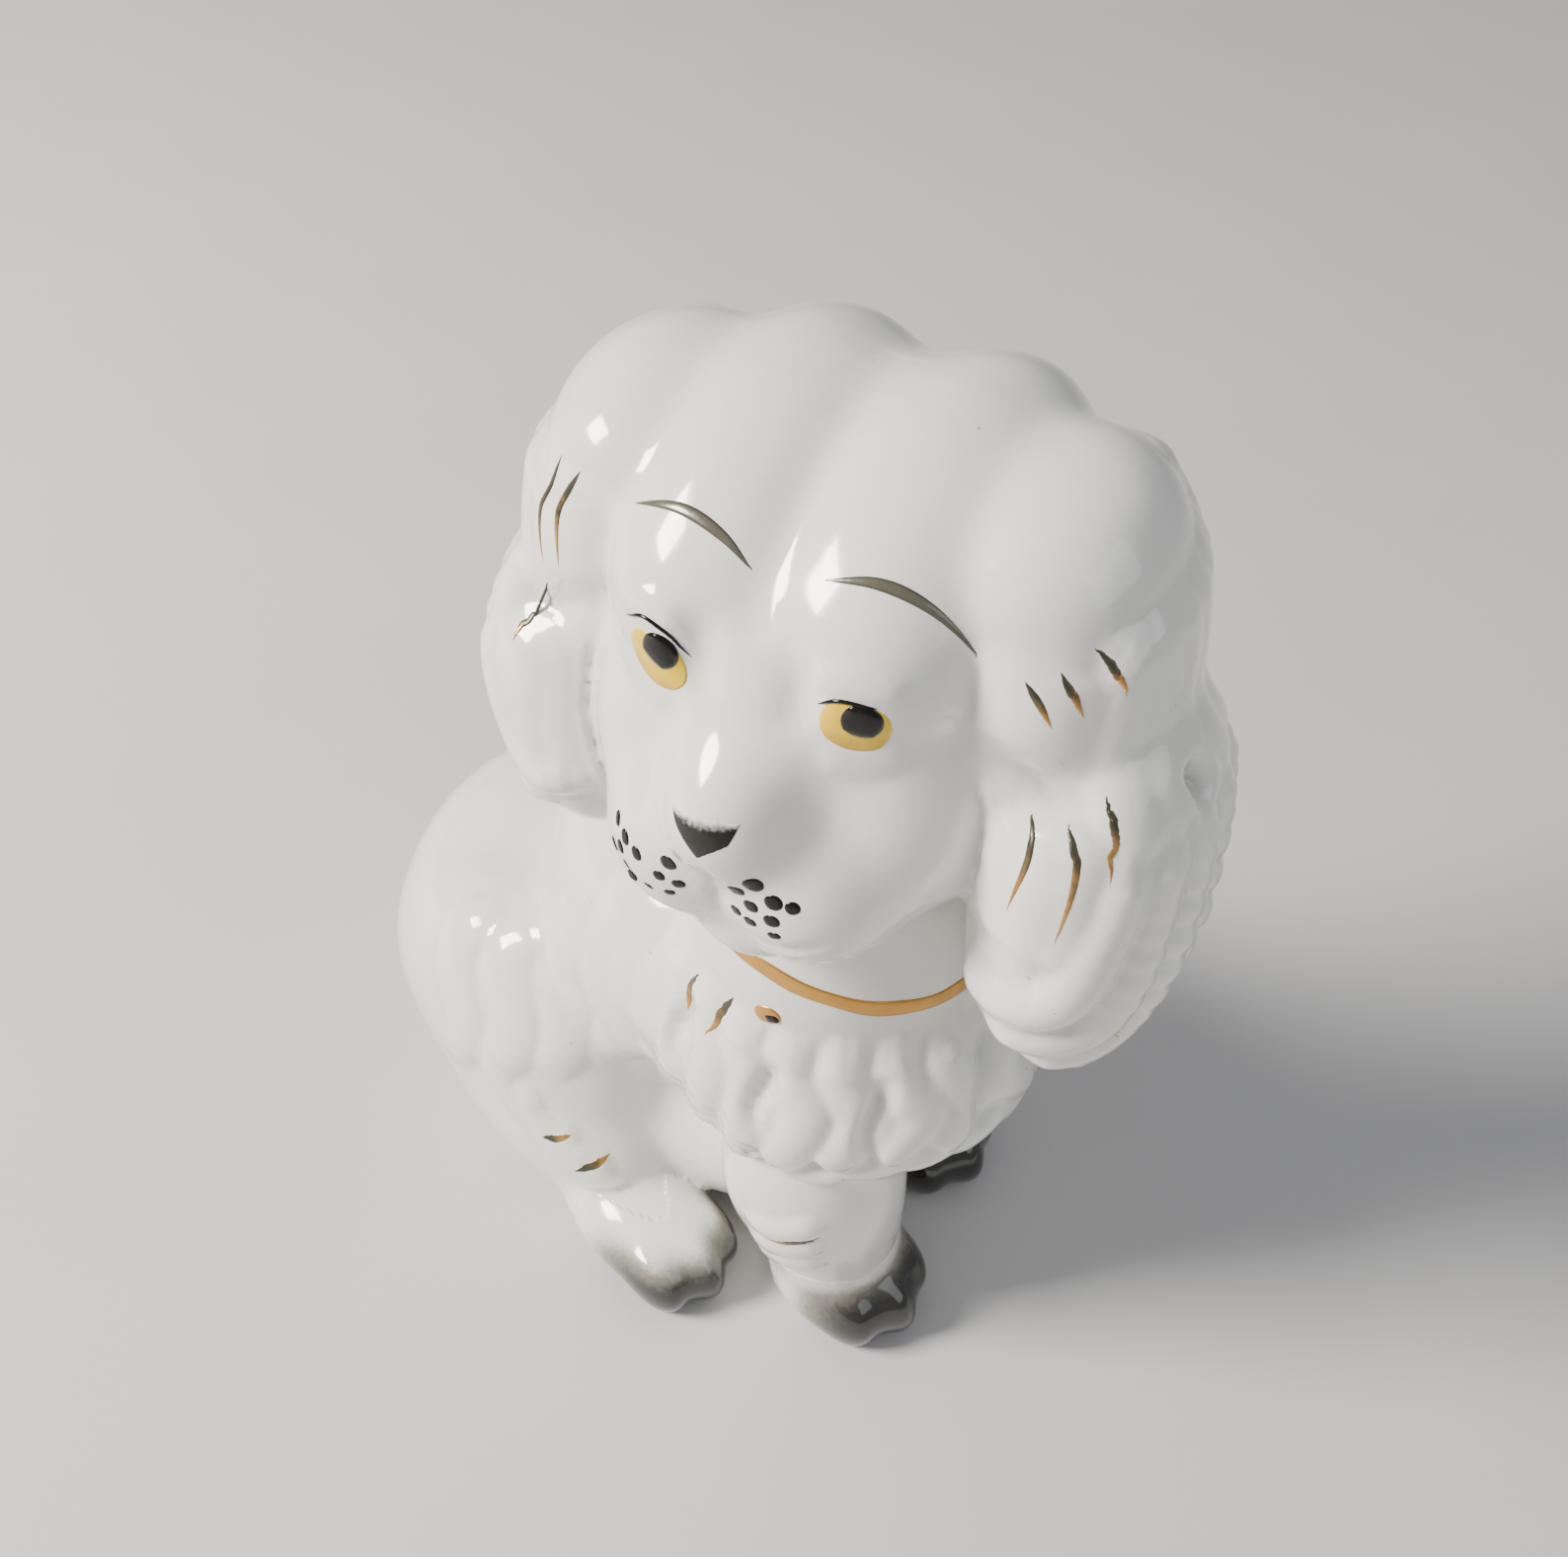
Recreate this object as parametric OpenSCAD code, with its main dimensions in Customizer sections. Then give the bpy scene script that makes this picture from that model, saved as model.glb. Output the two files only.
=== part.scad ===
// Seated spaniel mantel figurine. The body faces +X and the head looks over
// the right shoulder, towards -Y. White glazed earthenware: several slip casts
// luted together, then decorated with fired-on enamel and gilding.
// The origin is on the foot plane, in the middle of the figure.

/* [Figure] */
// Height of the crown above the foot plane
figure_h = 107; // [97:1:122]
// Length of the body from rump to chest
body_len = 78; // [68:1:90]
// Width across the haunches
haunch_w = 47; // [40:1:54]
// Height of the seam between body and head
neck_z = 54; // [48:0.5:58]

/* [Body] */
// Width of the chest
chest_w = 34; // [29:1:39]
// Height of the middle of the chest
chest_z = 39; // [35:0.5:43]
// Height of the haunches
haunch_h = 35; // [28:1:40]
// Length of a haunch
haunch_len = 36; // [28:1:40]
// Length of a hind foot from heel to toe
hind_foot_len = 22; // [18:1:27]
// Width of a hind foot
hind_foot_w = 13; // [10:0.5:16]
// Height of a hind foot
hind_foot_h = 9; // [7:0.5:11]

/* [Forelegs] */
// Distance between the middles of the forelegs
leg_spread = 18.5; // [15.5:0.5:22]
// Thickness of a foreleg
leg_d = 14; // [11:0.5:16]
// How far the left foreleg stands behind the right one
leg_set_back = 6; // [3:0.5:9]
// Length of a forepaw
paw_len = 17; // [14:0.5:21]
// Width of a forepaw
paw_w = 14; // [11:0.5:16]
// Height of a forepaw
paw_h = 9; // [7:0.5:12]

/* [Head] */
// How far the head is turned towards the right shoulder, in degrees
head_turn = 75; // [55:1:95]
// Width of the face between the ears
face_w = 32; // [27:1:37]
// Length of the skull from back to brow
skull_len = 34; // [29:1:40]
// Distance from the middle of the skull to the tip of the nose
muzzle_reach = 20; // [17:0.5:24]
// Width of the muzzle across the lip pads
muzzle_w = 20; // [17:0.5:23]
// Distance between the middles of the eyes
eye_spread = 15; // [13:0.5:17]

/* [Ears] */
// Length of the left ear from root to tip
ear_len = 50; // [42:1:56]
// How much shorter the right ear is, where it is tucked against the shoulder
ear_tuck = 6; // [3:0.5:9]
// Front-to-back width of an ear
ear_w = 22; // [18:0.5:26]
// Thickness of an ear
ear_t = 15; // [12:0.5:18]

/* [Tail] */
// Length of the curled tail
tail_len = 24; // [18:1:30]
// Thickness of the tail
tail_d = 11; // [8:0.5:14]

/* [Walls] */
// Thickness of the cast wall
wall = 3; // [2:0.25:4]
// Diameter of the vent hole under the body
vent_d = 6; // [4:0.5:8]
// Thickness of the slip between luted casts
slip_gap = 0.1; // [0.05:0.05:0.3]

/* [Decoration] */
// Thickness of fired enamel and gilding
enamel_t = 0.25; // [0.15:0.05:0.4]
// Gap under a layer of enamel
enamel_gap = 0.05; // [0.03:0.01:0.1]
// Width of an iris
iris_w = 4.6; // [3.6:0.2:6]
// Width of a pupil
pupil_w = 2.6; // [1.8:0.2:3.4]
// Width of the gilt collar line
collar_w = 1.4; // [1:0.1:2]
// Width of the locket
locket_w = 2.4; // [1.6:0.2:3.4]
// Width of a brow stroke at its middle
brow_w = 0.6; // [0.4:0.1:1]
// Width of a gilt brush stroke at its middle
stroke_w = 0.9; // [0.5:0.1:1.4]

/* [Hidden] */

white = [0.93, 0.92, 0.87];
black = [0.16, 0.15, 0.12];
gold = [0.78, 0.47, 0.10];
yellow = [0.90, 0.68, 0.05];
olive = [0.35, 0.34, 0.27];

RIGHT = -1;
LEFT = 1;

// Places that several pieces share
chest_x = 35.2;
rump_x = chest_x - body_len;
shoulder_x = chest_x - 17.5;
head_z = figure_h - 20;
head_at = [shoulder_x, -3, head_z];

// ---- Forms: soft ellipsoid lobes that flow into each other ----

function turn_x(a) = [[1, 0, 0], [0, cos(a), -sin(a)], [0, sin(a), cos(a)]];
function turn_y(a) = [[cos(a), 0, sin(a)], [0, 1, 0], [-sin(a), 0, cos(a)]];
function turn_z(a) = [[cos(a), -sin(a), 0], [sin(a), cos(a), 0], [0, 0, 1]];
function flip(m) = [for (i = [0:2]) [for (j = [0:2]) m[j][i]]];
function unit(v) = v / norm(v);

// One lobe: its centre, and the matrix that maps it to a unit ball
function lobe(c, r, turn = [0, 0, 0]) =
    let (m = flip(turn_z(turn.z) * turn_y(turn.y) * turn_x(turn.x)))
    [c, [for (i = [0:2]) m[i] / r[i]]];
// The same lobe on both sides of the plane of symmetry
function both(c, r, turn = [0, 0, 0]) =
    [lobe(c, r, turn), lobe([c.x, -c.y, c.z], r, [-turn.x, turn.y, -turn.z])];

// Lobes of the head are given from its middle, with +X where the face looks
head_axes = turn_z(-head_turn);
function on_head(p) = head_at + head_axes * p;
function headed(lobes) = [for (l = lobes) [on_head(l[0]), l[1] * flip(head_axes)]];

function lobe_depth(l, p) =
    let (q = l[1] * (p - l[0]), a = max(norm(q), 0.001))
    a * (a - 1) / max(norm(q * l[1]), 0.001);

// A form is [lobes, blend radius, walls, neighbours]. Negative depth is inside.
function blended(f, p) =
    let (e = [for (l = f[0]) exp(-lobe_depth(l, p) / f[1])])
    -f[1] * ln(e * [for (x = e) 1]);
function depth(f, p) = max(concat(
    [blended(f, p)],
    [for (w = f[2]) w[0] * p - w[1]],
    [for (n = f[3]) slip_gap - blended(n, p)]
));

// Distance from o along dir to where the form ends, by halving
function reach(f, level, o, dir, near, far, n = 14) =
    n == 0 ? near :
    let (mid = (near + far) / 2)
    depth(f, o + dir * mid) < level
        ? reach(f, level, o, dir, mid, far, n - 1)
        : reach(f, level, o, dir, near, mid, n - 1);

// A level ring of points round c, with more of them towards the ends along X
function ring(f, level, c, sides, far, long = 1) =
    [for (i = [0:sides - 1])
        let (dir = unit([long * cos(360 * i / sides), sin(360 * i / sides), 0]))
        c + dir * reach(f, level, c, dir, 0, far)];

// A closed skin through rings of equal count, from the point first to the point last.
// Rings run up the outside, and any that follow run down the inside.
module skin(rings, first, last) {
    n = len(rings[0]);
    m = len(rings);
    tip = n * m;
    polyhedron(
        points = concat([for (r = rings) each r], [first, last]),
        faces = concat(
            [for (i = [0:n - 1]) [tip, i, (i + 1) % n]],
            [for (j = [0:m - 2], i = [0:n - 1]) let (k = (i + 1) % n)
                each [[j * n + i, (j + 1) * n + i, j * n + k],
                      [j * n + k, (j + 1) * n + i, (j + 1) * n + k]]],
            [for (i = [0:n - 1]) [tip + 1, (m - 1) * n + (i + 1) % n, (m - 1) * n + i]]
        ),
        convexity = 8
    );
}

// A column of a form from the floor, or from low, up to where the form ends
module column(f, at, low, sides, rings, far) {
    mid = low + 2;
    high = mid + reach(f, 0, [at.x, at.y, mid], [0, 0, 1], 0, far);
    levels = [for (j = [0:rings - 1]) low + (high - low) * sin(90 * j / rings)];
    skin([for (z = levels) ring(f, 0, [at.x, at.y, z], sides, far)],
        [at.x, at.y, low], [at.x, at.y, high]);
}

// ---- Body: hollow, open at the neck seam, with a vent hole underneath ----

haunch_x = rump_x + 8 + haunch_len / 2;
haunch_y = haunch_w / 2 - 10;
body_form = [
    concat(
        [
            lobe([chest_x - 18, 0, chest_z], [18, chest_w / 2, 17]),
            lobe([shoulder_x, -2, neck_z], [13, 13, 14]),
            lobe([chest_x - 36, 0, chest_z - 6], [25, 15.5, 16], [0, -38, 0]),
            lobe([chest_x - 37, 0, chest_z + 1], [17, 14, 15]),
            lobe([rump_x + 18, 0, 18], [18, haunch_w / 2 - 3, 18]),
            lobe([chest_x - 36, 0, 11], [24, 14, 13])
        ],
        both([haunch_x, haunch_y, haunch_h / 2],
            [haunch_len / 2, 10, haunch_h / 2], [0, -12, 0]),
        both([haunch_x + 7, haunch_w / 2 - 7, 8], [14, 7, 10])
    ),
    1.6, [], []
];

axis_low = rump_x + body_len * 0.45;
function body_axis(z) = [axis_low + (shoulder_x - axis_low) * z / neck_z, 0, z];

module body() {
    sides = 60;
    rings = 32;
    outside = [for (j = [0:rings])
        ring(body_form, 0, body_axis(neck_z * j / rings), sides, 70, 1.6)];
    inside = [for (j = [12:-1:0])
        ring(body_form, -wall, body_axis(wall + (neck_z - wall) * j / 12), sides, 70, 1.6)];
    color(white)
    difference() {
        skin(concat(outside, inside), body_axis(0), body_axis(wall));
        translate([axis_low, 0, -1])
            cylinder(d = vent_d, h = wall + 2, $fn = 48);
    }
}

// ---- Feet, forelegs and tail: pressed solid and luted on ----

leg_middle = 2;
function leg_x(side) = chest_x - 12.5 - (side == LEFT ? leg_set_back : 0);
function leg_y(side) = leg_middle + side * leg_spread / 2;
function paw_at(side) = [leg_x(side) + (paw_len - leg_d) / 2 + 0.5, leg_y(side), paw_h * 0.4];
function leg_form(side) = [
    [
        lobe([leg_x(side), leg_y(side), 14], [leg_d / 2, leg_d / 2, 24]),
        lobe([leg_x(side) - 2.5, leg_y(side) + side, 22], [leg_d / 2 + 2, leg_d / 2 + 1, 14]),
        lobe(paw_at(side), [paw_len / 2, paw_w / 2, paw_h * 0.6])
    ],
    1.4, [[[0, -side, 0], -side * leg_middle - slip_gap]], [body_form]
];
module foreleg(side) {
    color(white)
    column(leg_form(side), [leg_x(side) + leg_d / 3, leg_y(side)], 0, 28, 14, 40);
}

// A hind foot lies in front of its haunch, and leaves room for the foreleg
hind_foot_x = haunch_x + haunch_len / 2 + 4;
hind_foot_y = haunch_w / 2 - hind_foot_w / 2 + 1;
function hind_foot_form(side) = [
    [lobe(
        [hind_foot_x, side * hind_foot_y, hind_foot_h * 0.4],
        [hind_foot_len / 2, hind_foot_w / 2, hind_foot_h * 0.6]
    )],
    1, [], [body_form, leg_form(side)]
];
module hind_foot(side) {
    at = [hind_foot_x + hind_foot_len / 3, side * (hind_foot_y + 1)];
    color(white)
    column(hind_foot_form(side), at, 0, 28, 8, 30);
}

tail_form = [
    [
        lobe([rump_x + 3, 6, tail_d / 2 - 1], [tail_d / 2, tail_len / 2, tail_d / 2], [0, 0, 20]),
        lobe([rump_x + 4, -1, tail_d], [tail_d / 2, tail_d / 2, tail_d / 2])
    ],
    1.4, [], [body_form]
];
module tail() {
    color(white)
    column(tail_form, [rump_x - 1, 4], 0, 28, 12, 30);
}

// ---- Head: hollow, open at the seam ----

muzzle_y = muzzle_w / 2 - 5.5;
face_y = face_w / 2;
// The neck runs from inside the skull to below the seam, whatever their distance
neck_high = -8;
neck_low = neck_z - 11 - head_z;
head_form = [
    headed(concat(
        [
            lobe([-2, 0, 0], [skull_len / 2, face_y - 1, 18]),
            lobe([muzzle_reach - 9, 0, -3], [9, 5.5, 6]),
            lobe([muzzle_reach - 3, 0, -5], [3, 3.4, 2.8]),
            lobe([muzzle_reach - 9, 0, -18], [6, 5, 3.5]),
            lobe([-1, 0, (neck_low + neck_high) / 2], [12, 12.5, (neck_high - neck_low) / 2])
        ],
        both([-3, 6.5, 10], [13, 8.5, 8.6]),
        both([6, 6.5, 7], [8, 7, 7]),
        both([4, face_y - 7, -6], [10.5, 7.5, 11.5]),
        both([muzzle_reach - 7, muzzle_y, -11], [6.5, 5.5, 7])
    )),
    1.3, [], []
];

// From the middle of the head, rays sweep from straight up to the seam's edge
function sweep(f, level, sides, steps) =
    let (
        at = [head_at.x, head_at.y, neck_z + slip_gap],
        rim = ring(f, level, at, sides, 40)
    )
    [for (j = [0:steps]) [for (p = rim)
        let (
            d = p - at,
            low = atan2(at.z - head_at.z, norm(d)),
            el = low + (90 - low) * j / (steps + 1),
            dir = concat(unit([d.x, d.y]) * cos(el), [sin(el)])
        )
        j == 0 ? p : head_at + dir * reach(f, level, head_at, dir, 0, 60)]];

module head() {
    up = [0, 0, 1];
    outside = sweep(head_form, 0, 60, 34);
    inside = sweep(head_form, -wall, 60, 12);
    top = head_at + up * reach(head_form, 0, head_at, up, 0, 60);
    top_inside = head_at + up * reach(head_form, -wall, head_at, up, 0, 60);
    color(white)
    skin(concat([for (j = [len(inside) - 1:-1:0]) inside[j]], outside), top_inside, top);
}

// ---- Ears ----

ear_y = face_y + ear_t / 2 - 2;
ear_top = 18;
ear_mid = ear_top - ear_len / 2;
function ear_lobes(side, long, lean) = [
    lobe([-2, side * (face_y - 1.5), ear_top - 6], [ear_w / 2 - 1, ear_t / 2, 6.5]),
    lobe([-1, side * (ear_y - 5), ear_top - long * 0.26], [ear_w / 2 - 1, ear_t / 2 - 0.5, 10]),
    lobe([1, side * ear_y, ear_top - long * 0.42],
        [ear_w / 2, ear_t / 2 - 0.5, long * 0.32], [side * lean, 0, 0]),
    lobe([3, side * (ear_y - 0.5 - lean * 0.17), ear_top - long * 0.7],
        [ear_w / 2 - 1.5, ear_t / 2 - 0.5, long * 0.3], [side * lean, 0, 0])
];
ear_out = [
    [headed(ear_lobes(RIGHT, ear_len - ear_tuck, 12)), 1.4, [], [head_form, body_form]],
    [headed(ear_lobes(LEFT, ear_len, 0)), 1.4, [], [head_form, body_form]]
];
function ear_form(side) = ear_out[side == RIGHT ? 0 : 1];

module ear(side) {
    f = ear_form(side);
    mid = on_head([1, side * (ear_y + 1), ear_top - ear_len * 0.33]);
    rings = 26;
    sides = 36;
    // Rays crowd towards the two ends, because an ear is much longer than wide
    stretch = ear_len / ear_w;
    function along(dir) = mid + dir * reach(f, 0, mid, dir, 0, 60);
    color(white)
    skin([for (j = [1:rings - 1]) [for (i = [0:sides - 1])
            let (el = 180 * j / rings - 90, az = 360 * i / sides)
            along(unit([cos(az) * cos(el), sin(az) * cos(el), stretch * sin(el)]))]],
        along([0, 0, -1]), along([0, 0, 1]));
}

// ---- Decoration: thin fired layers that lie on the glaze ----

// A closed sheet over a grid of targets, each pushed along its ray to the surface
module layer(f, from, grid, lift = enamel_gap) {
    m = len(grid);
    n = len(grid[0]);
    function at(p, l) =
        let (dir = unit(p - from))
        from + dir * reach([f[0], f[1], [], []], l, from, dir, 0, 60);
    top = m * n;
    rim = concat(
        [for (i = [0:n - 2]) i], [for (j = [0:m - 2]) j * n + n - 1],
        [for (i = [n - 1:-1:1]) (m - 1) * n + i], [for (j = [m - 1:-1:1]) j * n]
    );
    polyhedron(
        points = concat(
            [for (r = grid, p = r) at(p, lift)],
            [for (r = grid, p = r) at(p, lift + enamel_t)]
        ),
        faces = concat(
            [for (j = [0:m - 2], i = [0:n - 2]) let (a = j * n + i, b = a + n)
                each [[a, a + 1, b], [a + 1, b + 1, b],
                      [top + a, top + b, top + a + 1], [top + a + 1, top + b, top + b + 1]]],
            [for (k = [0:len(rim) - 1]) let (a = rim[k], b = rim[(k + 1) % len(rim)])
                each [[a, top + a, b], [b, top + a, top + b]]]
        ),
        convexity = 4
    );
}

// A round patch about the target p, wide by tall, facing away from the point from.
// Targets are laid out clockwise as seen from outside.
function patch(p, from, wide, tall, up = [0, 0, 1], roll = 0, n = 4) =
    let (
        out = unit(p - from),
        across = unit(cross(up, out)),
        over = cross(out, across)
    )
    [for (j = [0:n]) [for (i = [0:n])
        let (
            u = 2 * i / n - 1,
            v = 1 - 2 * j / n,
            x = u * sqrt(1 - v * v / 2) * wide / 2,
            y = v * sqrt(1 - u * u / 2) * tall / 2
        )
        p + across * (x * cos(roll) - y * sin(roll)) + over * (x * sin(roll) + y * cos(roll))]];

// A brush stroke that bends from a past b to c and thins out at both ends
function stroke(a, b, c, from, wide, n = 10) =
    [for (j = [0:n])
        let (
            t = j / n,
            p = (1 - t) * (1 - t) * a + 2 * t * (1 - t) * b + t * t * c,
            along = unit((1 - t) * (b - a) + t * (c - b)),
            across = unit(cross(unit(p - from), along)),
            half = wide * (0.12 + 0.38 * sin(180 * t))
        )
        [p + across * half, p, p - across * half]];

function head_targets(grid) = [for (r = grid) [for (p = r) on_head(p)]];
middle = [0, 0, 0];

module on_face(grid, lift = enamel_gap) {
    layer(head_form, head_at, head_targets(grid), lift);
}

eye_z = 6;
function eye_at(side) = [14, side * eye_spread / 2, eye_z];
module iris(side) {
    at = eye_at(side) - [0, 0, 0.8];
    color(yellow)
    on_face(patch(at, middle, iris_w, iris_w * 0.8, roll = side * 8));
}
module pupil(side) {
    at = eye_at(side) + [0, side * 0.2, 0.3];
    color(black)
    on_face(patch(at, middle, pupil_w, pupil_w), enamel_t + 2 * enamel_gap);
}
module lid_line(side) {
    out = iris_w / 2 + 0.3;
    color(black)
    on_face(stroke(
        eye_at(side) + [0, -side * out, 0.2],
        eye_at(side) + [0, 0, iris_w * 0.95],
        eye_at(side) + [0, side * out, 0.2],
        middle, 0.4), 2 * enamel_t + 3 * enamel_gap);
}
module brow(side) {
    inner = [11, side * 2.4, 12.6];
    outer = [8.5, side * 12.2, 10.8];
    color(olive)
    on_face(stroke(inner, [10.5, side * 7, 16], outer, middle, brow_w));
}

module nose_enamel() {
    color(black)
    on_face([for (j = [0:4])
        let (half = 3 - 0.65 * j)
        [for (i = [-2:2]) [muzzle_reach, half * i / 2, -1.6 - 0.8 * j]]]);
}

module whisker_spots(side) {
    color(black)
    for (row = [0:2], i = [0:2 + row])
        on_face(patch(
            [muzzle_reach - 1, side * (2.6 + 2 * i - row * 0.4), -7.6 - 1.9 * row - (i % 2) * 0.5],
            middle, 1.1, 0.9, n = 2));
}

module collar_gilding() {
    z = neck_z + 1.2;
    n = 60;
    function round_at(h, l) = ring(head_form, l, [head_at.x, head_at.y, h], n, 40);
    loops = [
        round_at(z, enamel_gap), round_at(z, enamel_gap + enamel_t),
        round_at(z + collar_w, enamel_gap + enamel_t), round_at(z + collar_w, enamel_gap)
    ];
    color(gold)
    polyhedron(
        points = [for (l = loops) each l],
        faces = [for (j = [0:3], i = [0:n - 1])
            let (
                here = j * n,
                next = ((j + 1) % 4) * n,
                k = (i + 1) % n
            )
            each [[here + i, next + i, here + k], [here + k, next + i, next + k]]],
        convexity = 6
    );
}

locket_at = [shoulder_x, -13, neck_z - 2];
chest_middle = [shoulder_x, 0, chest_z];
module locket_gilding() {
    color(gold)
    layer(body_form, chest_middle, patch(locket_at, chest_middle, locket_w, locket_w * 0.85));
}
module locket_enamel() {
    color(black)
    layer(body_form, chest_middle, patch(locket_at, chest_middle, locket_w / 2, locket_w * 0.4),
        enamel_t + 2 * enamel_gap);
}

module ear_gilding(side) {
    from = on_head([2, side * ear_y, ear_mid]);
    color(gold)
    for (k = [-1:1], low = [0, 1])
        let (
            x = 9.5 + 2 * low,
            y = side * (ear_y - 1.6 + 2 * low + 2.3 * k),
            z = ear_top - ear_len * (0.17 + 0.22 * low) + k
        )
        layer(ear_form(side), from, head_targets(stroke(
            [x, y - side * 0.8, z + 2], [x, y + side * 0.8, z], [x, y, z - 2.4],
            on_head_inverse(from), stroke_w, 6)));
}
function on_head_inverse(p) = flip(head_axes) * (p - head_at);

module chest_gilding() {
    color(gold)
    for (k = [-1, 1])
        let (p = [shoulder_x - 4 + 2.5 * k, -14.5, neck_z - 4.5 + 1.5 * k])
        layer(body_form, chest_middle,
            stroke(p + [1, 0, 2], p - [1, 0, 0], p + [1, 0, -2], chest_middle, stroke_w, 6));
}
haunch_middle = [haunch_x + 10, 0, haunch_h / 2];
module haunch_gilding() {
    color(gold)
    for (k = [-1, 1])
        let (
            p = [haunch_x + 16 + 1.7 * k, 2.5 - haunch_w / 2, haunch_h * 0.38 - 1.2 * k]
        )
        layer(body_form, haunch_middle,
            stroke(p + [1, 0, 2], p - [1, 0, 0], p + [1, 0, -2], haunch_middle, stroke_w, 6));
}
module foreleg_gilding() {
    from = [leg_x(RIGHT), leg_y(RIGHT), 15];
    p = from + [1, -leg_d / 2, 3];
    color(gold)
    layer(leg_form(RIGHT), from,
        stroke(p + [0.5, 0, 2], p - [0.5, 0, 0], p + [0.5, 0, -2], from, stroke_w, 6));
}

// Enamel over the toes, kept clear of the floor
module paw_enamel(f, at, ahead, side, wide, tall) {
    color(black)
    layer([f[0], f[1], [], []], at,
        patch(at + [ahead, side * wide * 0.1, tall * 0.62], at, wide, tall, n = 6));
}
module forepaw_enamel(side) {
    at = paw_at(side) + [0, 0, 1];
    paw_enamel(leg_form(side), at, paw_len / 2, 0, paw_w * 0.8, paw_h * 0.55);
}
module hind_paw_enamel(side) {
    at = [hind_foot_x + 2, side * hind_foot_y, hind_foot_h * 0.5];
    paw_enamel(hind_foot_form(side), at, hind_foot_len / 2 - 2, side, hind_foot_w * 0.8, hind_foot_h * 0.55);
}

body();
hind_foot(RIGHT);  // right_hind_foot
hind_foot(LEFT);  // left_hind_foot
tail();
foreleg(RIGHT);  // right_foreleg
foreleg(LEFT);  // left_foreleg
head();
ear(RIGHT);  // right_ear
ear(LEFT);  // left_ear
iris(RIGHT);  // right_iris
iris(LEFT);  // left_iris
pupil(RIGHT);  // right_pupil
pupil(LEFT);  // left_pupil
lid_line(RIGHT);  // right_lid_line
lid_line(LEFT);  // left_lid_line
brow(RIGHT);  // right_brow
brow(LEFT);  // left_brow
nose_enamel();
whisker_spots(RIGHT);  // right_whisker_spots
whisker_spots(LEFT);  // left_whisker_spots
collar_gilding();
locket_gilding();
locket_enamel();
ear_gilding(RIGHT);  // right_ear_gilding
ear_gilding(LEFT);  // left_ear_gilding
chest_gilding();
haunch_gilding();
foreleg_gilding();
forepaw_enamel(RIGHT);  // right_forepaw_enamel
forepaw_enamel(LEFT);  // left_forepaw_enamel
hind_paw_enamel(RIGHT);  // right_hind_paw_enamel
hind_paw_enamel(LEFT);  // left_hind_paw_enamel
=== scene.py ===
import math
import bpy
import numpy as np
import openvdb
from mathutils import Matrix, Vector
from mathutils.bvhtree import BVHTree


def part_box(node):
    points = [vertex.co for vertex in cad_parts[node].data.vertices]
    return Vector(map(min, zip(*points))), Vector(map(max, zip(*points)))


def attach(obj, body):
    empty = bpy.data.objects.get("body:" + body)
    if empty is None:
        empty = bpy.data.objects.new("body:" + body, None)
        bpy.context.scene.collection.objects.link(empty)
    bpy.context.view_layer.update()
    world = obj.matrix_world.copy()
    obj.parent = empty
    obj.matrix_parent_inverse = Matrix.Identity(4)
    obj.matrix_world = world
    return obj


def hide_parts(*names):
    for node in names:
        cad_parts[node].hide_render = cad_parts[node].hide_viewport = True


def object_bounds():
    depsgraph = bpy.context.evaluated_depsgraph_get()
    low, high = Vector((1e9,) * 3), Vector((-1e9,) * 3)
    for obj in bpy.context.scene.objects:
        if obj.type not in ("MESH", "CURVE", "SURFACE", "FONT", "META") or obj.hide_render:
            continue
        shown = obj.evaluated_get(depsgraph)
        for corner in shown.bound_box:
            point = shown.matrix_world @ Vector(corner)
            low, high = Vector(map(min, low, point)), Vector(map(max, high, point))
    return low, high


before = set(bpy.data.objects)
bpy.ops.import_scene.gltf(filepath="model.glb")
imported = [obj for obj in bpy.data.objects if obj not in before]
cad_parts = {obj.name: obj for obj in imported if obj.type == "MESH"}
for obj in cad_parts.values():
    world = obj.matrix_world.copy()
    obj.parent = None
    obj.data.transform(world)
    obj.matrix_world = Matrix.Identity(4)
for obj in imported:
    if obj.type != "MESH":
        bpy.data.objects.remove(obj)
cad_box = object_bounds()
MM = 0.001

# ---- The viewer ----
# Someone sitting at the table looks down at the figure from close by, over its
# right shoulder, so the head is much nearer to the eye than the paws.
viewer = bpy.data.objects.new("viewer", bpy.data.cameras.new("viewer"))
bpy.context.scene.collection.objects.link(viewer)
viewer.data.sensor_fit = "HORIZONTAL"
viewer.data.sensor_width = 36
viewer.data.lens = 37.2
viewer.data.clip_start = 0.005
viewer.location = (0.0756, -0.0693, 0.165)
viewer.rotation_euler = (math.radians(90 - 47), 0, math.radians(44))
bpy.context.scene.camera = viewer

# ---- The master model ----
# The modeller builds the dog from rounded masses that flow into one another.
# Each cast is a list of egg-shaped lobes: where it is, its three half sizes, and
# how it is tilted, all in millimetres.


def tilted(x, y, z):
    """The matrix that tilts a lobe by these angles, about X, then Y, then Z."""
    turn = np.eye(3)
    for axis, angle in enumerate((x, y, z)):
        c, s = math.cos(math.radians(angle)), math.sin(math.radians(angle))
        one = np.eye(3)
        a, b = (axis + 1) % 3, (axis + 2) % 3
        one[a, a], one[a, b], one[b, a], one[b, b] = c, -s, s, c
        turn = one @ turn
    return turn


def lobe(at, half, tilt=(0, 0, 0)):
    turn = tilted(*tilt)
    return np.array(at, float), turn.T / np.array(half, float)[:, None]


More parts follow.
